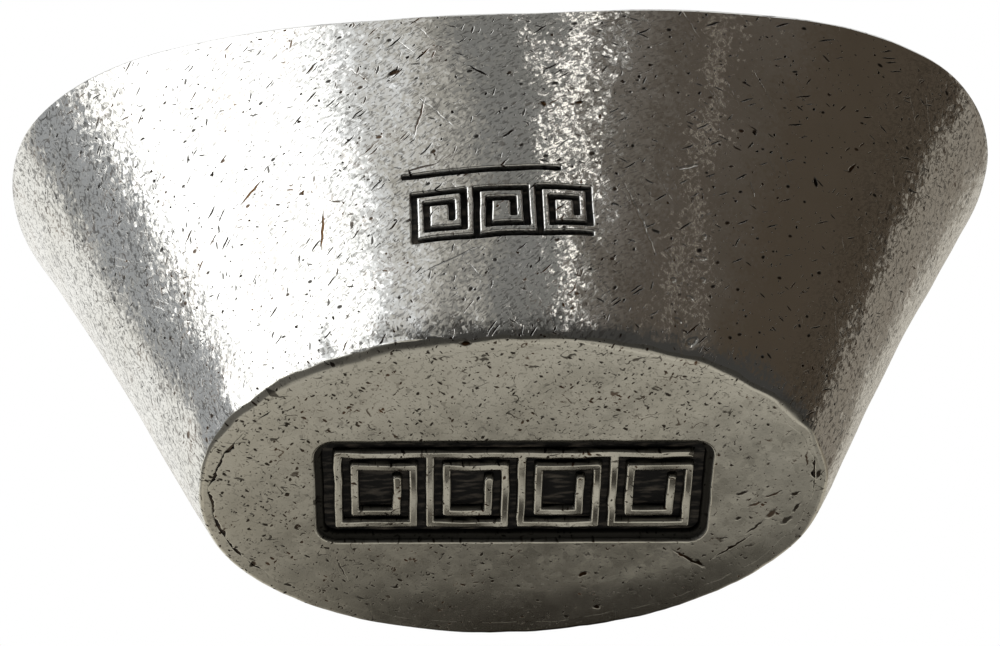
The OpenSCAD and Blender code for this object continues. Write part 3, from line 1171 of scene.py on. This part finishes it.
    def over_rim(self, top: np.ndarray) -> np.ndarray:
        """Rows from the outside over the rim, a quarter round that flattens to a bevel in places, down the hollow.

        Args:
            top: Last row of the outside.

        Returns:
            Places, rows by columns.
        """
        form = self.form
        turn = np.arctan2(top[:, 1] / form.oval, top[:, 0])
        ring = oval_row(turn, 1.0, 1.0, 0.0)
        worn = self.rim_round * (1 + unevenness(top, self.rim_waves))
        flat = step(self.bevel_right * ring[:, 0] + self.bevel_wave.at(top), *self.bevel_levels)
        rows = []
        for a in np.radians([8, 20, 35, 50, 65, 80, 90]):
            up = self.rim_round * math.sin(a)
            bevel = flat * math.cos(a) ** self.bevel_power
            inward = (1 - bevel) * worn * (1 - math.cos(a)) + bevel * up * math.tan(self.rim_bevel)
            rows.append(top - ring * inward[:, None] + (0, 0, up))
        oval = form.inner_oval(0.0)
        near, deep = self.hollow_drops
        for drop, soft in ((0.0, self.hollow_soft), (near, 0.0), (form.pan_thickness, 0.0), (deep, 0.0)):
            z = np.maximum(form.rim(turn) - drop, form.plate_thickness)
            rows.append(oval_row(turn, form.hollow(z) + soft, form.hollow(z) * oval + soft, z))
        low = form.hollow(np.float64(form.plate_thickness))
        rows.append(oval_row(turn, low, low * oval, form.plate_thickness))
        return np.stack(rows)

    def build(self) -> bpy.types.Object:
        """Sweeps the wall's closed section round the oval: pocket, lip, foot edge, outside, rim and hollow.

        Returns:
            The dressed piece.
        """
        t = self.columns()
        under, foot_rows = self.underside(t)
        face, struck = self.outside(t)
        grid = np.concatenate([under, face, self.over_rim(face[-1])])
        share = np.zeros(grid.shape[:2])
        share[len(under):len(under) + len(face)] = struck
        skin = Skin()
        skin.weave(skin.lay(grid), close_rows=True, close_columns=True)
        quads = skin.faces[0]
        unrolled, girth = self.form.unroll(grid)
        spread = unrolled.reshape(-1, 2)[quads]
        split = np.ptp(spread[..., 0], axis=1) > girth / 2
        spread[..., 0] += girth * (split[:, None] & (spread[..., 0] < 0))
        foot_faces = foot_rows * len(t)
        spread[:foot_faces] = grid.reshape(-1, 3)[quads[:foot_faces], :2]
        shares = {"struck": share, "sunk": 0 * share}
        piece = skin.build("flared_wall", Slot.WORN_SILVER, "side_wall", shares, spread)
        piece.data.materials.append(self.finish.make())
        piece.data.materials.append(self.foot_finish.make())
        is_foot = np.arange(len(quads)) < foot_faces
        piece.data.polygons.foreach_set("material_index", is_foot.astype(np.int32))
        return piece


@dataclass
class FootPlate:
    """Oval plate let into the foot, with a stepped sunk panel and a raised fret."""

    form: IngotForm
    finish: SilverFinish
    # Fine patch over the panel, and the rows from it to the edge
    fine: float = 0.066
    patch: Pair = (13.0, 4.85)
    ring_rows: int = 16
    last_ring: float = 0.99
    # Sunk panel with its step
    panel: Pair = (12.5, 4.3)
    panel_corner: float = 1.3
    panel_depth: float = 0.9
    step_depth: float = 0.35
    step_width: float = 0.45
    step_slope: Pair = (0.06, -0.1)
    panel_slope: Pair = (0.08, -0.16)
    panel_shake: Wave = Wave(0.025, 2.4, 51)
    panel_sway: Wave = Wave(0.025, 2.4, 52)
    # Raised fret
    fret: FretRow = FretRow(4, 5.8, 6.5, 0.55, 0.5)
    fret_height: float = 0.75
    fret_corner: float = 0.2
    fret_slope: Pair = (0.1, -0.06)
    fret_shake: float = 1.3
    fret_wear: Wave = Wave(0.08, 4.0, 53)
    # Black on the step and the floor, but not on the fret
    step_black: float = 0.93
    step_black_edge: Pair = (0.1, -0.04)
    panel_black_edge: Pair = (0.05, -0.05)
    fret_black_edge: Pair = (-0.05, 0.01)
    # Edge, side and back
    edge_round: float = 0.05
    edge_foot: float = 0.7
    back_ring: float = 0.5
    crack_waves: Waves = (Wave(0.13, 1.1, 35), Wave(0.09, 0.45, 36))

    @staticmethod
    def turned(x: np.ndarray, y: np.ndarray, angle: float) -> tuple[np.ndarray, np.ndarray]:
        """Places turned about the middle of the foot by an angle in radians."""
        return x * math.cos(angle) - y * math.sin(angle), x * math.sin(angle) + y * math.cos(angle)

    def relief(self, x: np.ndarray, y: np.ndarray) -> tuple[np.ndarray, np.ndarray]:
        """Heights of the under face: wear, plus a two-step panel, less the raised fret, all by signed distance.

        Args:
            x: Places along the length.
            y: Places across the width.

        Returns:
            Heights above the foot, and the share of black that each place holds.
        """
        place = np.stack([x, y, np.zeros_like(x)], axis=-1)
        wear = self.form.foot_wear(x, y)
        x, y = self.turned(x, y, -self.form.panel_turn)
        shake = self.panel_shake.at(place)
        sway = self.panel_sway.at(place)
        floor = (self.panel[0] - self.step_width, self.panel[1] - self.step_width)
        ledge = box_distance(x + shake, y + sway, self.panel, self.panel_corner)
        well = box_distance(x + shake, y + sway, floor, self.panel_corner - self.step_width)
        more = self.fret_shake
        lines = lines_distance(x + more * shake, y + more * sway, self.fret.boxes(), self.fret_corner)
        deep = self.panel_depth - self.step_depth
        sunk = self.step_depth * step(ledge, *self.step_slope) + deep * step(well, *self.panel_slope)
        worn = self.fret_height * (1 - self.fret_wear.height - self.fret_wear.at(place))
        raised = worn * step(lines, *self.fret_slope)
        black = self.step_black * step(ledge, *self.step_black_edge)
        black = black + (1 - self.step_black) * step(well, *self.panel_black_edge)
        return wear + sunk - raised, black * step(lines, *self.fret_black_edge)

    def build(self) -> bpy.types.Object:
        """Lays a fine patch over the panel, a ring of rows out to the oval edge, and the edge, side and back.

        Returns:
            The dressed piece.
        """
        form = self.form
        xs = np.arange(-self.patch[0], self.patch[0] + self.fine / 2, self.fine)
        ys = np.arange(-self.patch[1], self.patch[1] + self.fine / 2, self.fine)
        x, y = self.turned(*np.meshgrid(xs, ys), form.panel_turn)
        z, black = self.relief(x, y)
        skin = Skin()
        patch = skin.lay(np.stack([x, y, z], axis=-1))
        skin.weave(patch[:, ::-1])

        walk = np.concatenate([patch[0, :-1], patch[:-1, -1], patch[-1, :0:-1], patch[:0:-1, 0]])
        start = np.stack([x, y], axis=-1).reshape(-1, 2)[walk]
        half = np.array(form.pocket) - form.seam
        between = np.sqrt(half * (xs[-1], ys[-1]))
        turn = np.arctan2(start[:, 1] / between[1], start[:, 0] / between[0])
        ring = oval_row(turn, 1.0, 1.0, 0.0)[:, :2]
        crack = unevenness(oval_row(turn, half[0], half[1], 0.0), self.crack_waves)
        stray = form.seam_cover(turn) / 2 + form.seam_stray(turn) + form.seam_open(turn) * crack
        edge_round = form.seam_round(self.edge_round, turn)
        end = ring * (half + (stray - edge_round)[:, None])
        shares = np.append(np.linspace(0, 1, self.ring_rows)[1:-1], [self.last_ring, 1.0])
        flat = start + (end - start) * shares[:, None, None]
        lift, ring_black = self.relief(flat[..., 0], flat[..., 1])
        rows = [np.concatenate([flat, lift[..., None]], axis=-1)]
        for a in np.radians([30, 60, 90]):
            out = ring * (half + (stray - edge_round * (1 - math.sin(a)))[:, None])
            rise = lift[-1] + edge_round * (1 - math.cos(a))
            rows.append(np.concatenate([out, rise[:, None]], axis=-1)[None])
        thick = form.plate_thickness
        for size, height in ((1.0, self.edge_foot), (1.0, thick), (self.back_ring, thick)):
            rows.append(oval_row(turn, half[0] * size, half[1] * size, height)[None])
        ids = np.concatenate([walk[None], skin.lay(np.concatenate(rows))])
        skin.weave(ids, close_columns=True)
        skin.cap(ids[-1], np.array([0.0, 0.0, thick]))
        spare = np.zeros(skin.count - black.size - ring_black.size)
        sunk = np.concatenate([black.ravel(), ring_black.ravel(), spare])
        piece = skin.build("foot_plate", Slot.DULL_SILVER, "base_plate", {"sunk": sunk}, skin.plan())
        piece.data.materials.append(self.finish.make())
        return piece


@dataclass
class DishedPan:
    """Dished pan between the ears, with the fine rings that cooling silver leaves on its surface."""

    form: IngotForm
    finish: SilverFinish
    columns: int = 288
    rows: int = 110
    back_rows: int = 9
    ring_pitch: float = 1.5
    ring_height: float = 0.06
    ring_wave: Wave = Wave(0.5, 9.0, 71)
    swell: Wave = Wave(0.06, 8.0, 72)
    edge_fade: Pair = (0.99, 0.9)

    def build(self) -> bpy.types.Object:
        """Carries ovals from the middle to the rim: height is middle plus rise times share to a power, plus rings.

        Returns:
            The dressed piece.
        """
        form = self.form
        t = np.linspace(0, 2 * np.pi, self.columns, endpoint=False)
        rim = form.rim(t)
        oval = form.inner_oval(form.seam)
        middle = form.waist_height - form.pan_depth

        def sheet(share: np.ndarray, drop: float) -> np.ndarray:
            """Rows of the pan at shares of its half sizes, a drop below its upper face."""
            edge = (form.hollow(rim - drop) - form.seam) * share
            return oval_row(t, edge, edge * oval, middle + (rim - middle) * share ** form.pan_power - drop)

        share = np.linspace(0, 1, self.rows + 1)[1:, None]
        upper = sheet(share, 0.0)
        far = np.hypot(upper[..., 0], upper[..., 1] / oval) + self.ring_wave.at(upper)
        fade = step(share, *self.edge_fade)
        upper[..., 2] += fade * self.ring_height * np.cos(2 * np.pi * far / self.ring_pitch)
        upper[..., 2] += fade * self.swell.at(upper)
        lower = sheet(np.linspace(1, 0, self.back_rows)[:-1, None], form.pan_thickness)
        skin = Skin()
        ids = skin.lay(np.concatenate([upper, lower]))
        skin.weave(ids[:, ::-1], close_columns=True)
        skin.cap(ids[0], np.array([0.0, 0.0, middle + self.ring_height]))
        skin.cap(ids[-1, ::-1], np.array([0.0, 0.0, middle - form.pan_thickness]))
        shares = {"struck": np.zeros(skin.count)}
        piece = skin.build("dished_pan", Slot.WORN_SILVER, "top_pan", shares, skin.plan())
        piece.data.materials.append(self.finish.make())
        return piece


@dataclass
class SeamsAndBlack:
    """Solder in the two seams, and the black layers in the panel and the mark: solids that keep their shape."""

    solder: CrustFinish
    black: CrustFinish

    def dress(self) -> list[bpy.types.Object]:
        """Gives each solid its finish.

        Returns:
            The dressed solids.
        """
        dressed = []
        for finish, nodes in (
            (self.solder, ("base_solder", "rim_solder")),
            (self.black, ("panel_black", "mark_black")),
        ):
            material = finish.make()
            for node in nodes:
                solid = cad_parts[node]
                solid.data.materials.clear()
                solid.data.materials.append(material)
                dressed.append(solid)
        return dressed


@dataclass(frozen=True)
class Card:
    """A lit or dark card of the light tent, placed by bearing from the front (right is plus) and by elevation."""

    colour: str
    level: float
    bearing: Pair
    rise: Pair
    soft_sides: Pair
    soft_ends: float = 10.0

    def cover(self, bearing: np.ndarray, rise: np.ndarray) -> np.ndarray:
        """Share of the card at each direction, with soft edges.

        Args:
            bearing: Bearings in degrees.
            rise: Elevations in degrees.

        Returns:
            Shares from 0 to 1.
        """
        left, right = self.bearing
        middle = (left + right) / 2
        turn = (bearing - middle + 180) % 360 - 180 + middle
        first, last = self.soft_sides
        across = step(turn, left - first / 2, left + first / 2) * step(turn, right + last / 2, right - last / 2)
        low, high = self.rise
        soft = self.soft_ends / 2
        return across * step(rise, low - soft, low + soft) * step(rise, high + soft, high - soft)


# All bearings, and the elevations that the wall mirrors
ROUND = (-200.0, 200.0)
TALL = (-12.0, 62.0)
# Later cards cover earlier ones: first above and below, then round the wall from the left, then in front and behind.
CARDS = (
    Card("#ffffff", 0.8, ROUND, (58, 130), (1, 1), 20),
    Card("#fffaf0", 0.52, ROUND, (-130, -49), (1, 1), 6),
    Card("#fffaf0", 0.65, (110, 175), (-130, -49), (30, 10), 6),
    Card("#fffaf0", 0.32, (60, 170), (-48.5, -20), (30, 14), 4),
    Card("#fffefa", 1.1, (-160, -106), TALL, (30, 12)),
    Card("#f8fbff", 0.44, (-104, -78), TALL, (12, 8)),
    Card("#f8fbff", 0.95, (-30, -17), TALL, (4, 20)),
    Card("#fffefa", 0.23, (-9, 17), TALL, (18, 4)),
    Card("#ffffff", 2.5, (-76, -27), TALL, (12, 12)),
    Card("#fffaf4", 2.7, (11.2, 12.8), TALL, (0.6, 0.6)),
    Card("#fff3e6", 0.165, (16, 40), TALL, (3, 10)),
    Card("#ffecd8", 0.098, (26, 70), TALL, (14, 10)),
    Card("#fff4e6", 1.5, (36.9, 37.1), TALL, (0.4, 0.4)),
    Card("#ffe5c8", 0.078, (50, 103), TALL, (20, 6)),
    Card("#fff2e0", 0.29, (104, 132), TALL, (6, 16)),
    Card("#f0ece6", 0.17, (-125, -30), (-66, -8), (20, 20), 10),
    Card("#f0ece6", 0.065, (-36, 100), (-60, 9), (24, 20), 10),
    Card("#a88c68", 0.02, (165, 192), (-47.2, 25), (14, 16), 3),
)


@dataclass
class Studio:
    """White background, light tent that the metal mirrors, soft lamp, pale floor and the camera."""

    # Light tent, with closer bearings at its two narrow cards
    tent_radius: float = 500.0
    tent_colour: str = "#fff8ea"
    tent_level: float = 0.6
    tent_rows: int = 181
    tent_top: float = 89.9
    fine_bearings: tuple[Pair, ...] = ((8, 16), (34, 40))
    fine_step: float = 0.25
    # Camera, fitted to the photograph's outline
    camera_place: Triple = (-0.17, -108.17, -115.74)
    camera_aim: Triple = (-0.4, -8.12, 7.09)
    camera_roll: float = -2.293
    camera_near: float = 1.0
    lens: float = 90.0
    sensor: float = 36.0
    # Floor and lamp
    floor_colour: str = "#f4f3f0"
    floor_half: float = 3000.0
    floor_drop: float = 0.2
    ambient: float = 0.55
    lamp_watts: float = 3.2
    lamp_size: float = 260.0
    lamp_place: Triple = (-160, -120, 330)
    lamp_aim: Triple = (0, 0, 15)

    def hang_tent(self) -> None:
        """Ball round the ingot whose light at each bearing and elevation comes from the cards, seen by metal only."""
        bearings = [np.arange(-180, 180, 1.0)]
        bearings += [np.arange(left, right, self.fine_step) for left, right in self.fine_bearings]
        rises = np.linspace(-self.tent_top, self.tent_top, self.tent_rows)
        bearing, rise = np.meshgrid(np.unique(np.concatenate(bearings)), rises)
        a, e = np.radians(bearing), np.radians(rise)
        ball = np.stack([np.sin(a) * np.cos(e), -np.cos(a) * np.cos(e), np.sin(e)], axis=-1)
        light = np.full(ball.shape, self.tent_level) * linear(self.tent_colour)[:3]
        for card in CARDS:
            share = card.cover(bearing, rise)[..., None]
            light = light * (1 - share) + share * card.level * np.array(linear(card.colour)[:3])
        ids = np.arange(bearing.size).reshape(bearing.shape)
        wide = np.concatenate([ids, ids[:, :1]], axis=1)
        quads = np.stack([wide[:-1, :-1], wide[1:, :-1], wide[1:, 1:], wide[:-1, 1:]], axis=-1).reshape(-1, 4)
        mesh = bpy.data.meshes.new("light_tent")
        mesh.from_pydata((ball.reshape(-1, 3) * self.tent_radius * MM).tolist(), [], quads.tolist())
        layer = mesh.attributes.new("light", "FLOAT_COLOR", "POINT")
        layer.data.foreach_set("color", np.concatenate([light, np.ones_like(light[..., :1])], axis=-1).ravel())
        tent = bpy.data.objects.new("light_tent", mesh)
        material, tree = new_tree("lit_tent_cloth")
        glow = add_node(tree, "Attribute", output="Color", attribute_name="light")
        shine = add_node(tree, "Emission", {"Color": glow, "Strength": 1.0})
        add_node(tree, "OutputMaterial", {"Surface": shine})
        mesh.materials.append(material)
        bpy.context.scene.collection.objects.link(tent)
        tent.visible_camera = False
        tent.visible_shadow = False
        tent.visible_diffuse = False

    def lay_floor(self) -> None:
        """Pale floor just under the foot, which takes the shadow and lets a camera below it look through."""
        half = self.floor_half * MM
        low = -self.floor_drop * MM
        corners = [(-half, -half, low), (half, -half, low), (half, half, low), (-half, half, low)]
        mesh = bpy.data.meshes.new("floor")
        mesh.from_pydata(corners, [], [(0, 1, 2, 3)])
        floor = bpy.data.objects.new("floor", mesh)
        material, tree = new_tree("pale_paper_floor")
        paper = add_node(tree, "BsdfDiffuse", {"Color": linear(self.floor_colour)})
        clear = add_node(tree, "BsdfTransparent")
        below = add_node(tree, "NewGeometry", output="Backfacing")
        mixed = add_node(tree, "MixShader", {0: below, 1: paper, 2: clear})
        add_node(tree, "OutputMaterial", {"Surface": mixed})
        mesh.materials.append(material)
        bpy.context.scene.collection.objects.link(floor)
        floor.visible_glossy = False
        floor.visible_diffuse = False
        floor.visible_shadow = False

    def light_world(self) -> None:
        """White where a camera, glossy or transmission ray meets it, plain grey light otherwise."""
        world = bpy.data.worlds.new("white_studio")
        bpy.context.scene.world = world
        world.use_nodes = True
        tree = world.node_tree
        tree.nodes.clear()
        seen = add_node(tree, "LightPath", output="Is Camera Ray")
        path = seen.node
        for ray in ("Is Glossy Ray", "Is Transmission Ray"):
            seen = add_node(tree, "Math", {0: seen, 1: path.outputs[ray]}, operation="MAXIMUM")
        strength = add_node(tree, "MapRange", {"Value": seen, "To Min": self.ambient, "To Max": 1.0})
        sky = add_node(tree, "Background", {"Color": linear("#ffffff"), "Strength": strength})
        add_node(tree, "OutputWorld", {"Surface": sky})

    def hang_lamp(self) -> None:
        """One wide soft lamp above and to the left, which gives the floor its shadow."""
        data = bpy.data.lights.new("soft_lamp", "AREA")
        data.shape = "DISK"
        data.size = self.lamp_size * MM
        data.energy = self.lamp_watts
        lamp = bpy.data.objects.new("soft_lamp", data)
        lamp.location = Vector(self.lamp_place) * MM
        lamp.rotation_euler = (Vector(self.lamp_aim) * MM - lamp.location).to_track_quat("-Z", "Y").to_euler()
        lamp.visible_glossy = False
        bpy.context.scene.collection.objects.link(lamp)

    def set_camera(self) -> None:
        """Camera below and in front, aimed at the lower wall and rolled a little, as the picture was taken."""
        data = bpy.data.cameras.new("camera")
        data.lens = self.lens
        data.sensor_width = self.sensor
        data.clip_start = self.camera_near * MM
        camera = bpy.data.objects.new("camera", data)
        camera.location = Vector(self.camera_place) * MM
        look = (Vector(self.camera_aim) - Vector(self.camera_place)).to_track_quat("-Z", "Y")
        camera.rotation_mode = "QUATERNION"
        camera.rotation_quaternion = look @ Quaternion((0, 0, 1), math.radians(self.camera_roll))
        bpy.context.scene.collection.objects.link(camera)
        bpy.context.scene.camera = camera

    def build(self) -> None:
        """Sets up the view, the light and the floor."""
        bpy.context.scene.view_settings.view_transform = "Standard"
        self.light_world()
        self.hang_tent()
        self.lay_floor()
        self.hang_lamp()
        self.set_camera()


def main() -> None:
    """Builds the studio and the ingot's pieces in order, and reports each."""
    logging.basicConfig(level=logging.INFO, format="%(name)s: %(message)s")
    Studio().build()
    form = IngotForm()
    for maker in (
        SideWall(form, WALL_FINISH, FOOT_FINISH), FootPlate(form, FOOT_FINISH), DishedPan(form, WALL_FINISH)
    ):
        piece = maker.build()
        log.info("%s: %d faces", piece.name, len(piece.data.polygons))
    for solid in SeamsAndBlack(SOLDER_FINISH, BLACK_FINISH).dress():
        log.info("%s: dressed", solid.name)


if __name__ == "__main__":
    main()
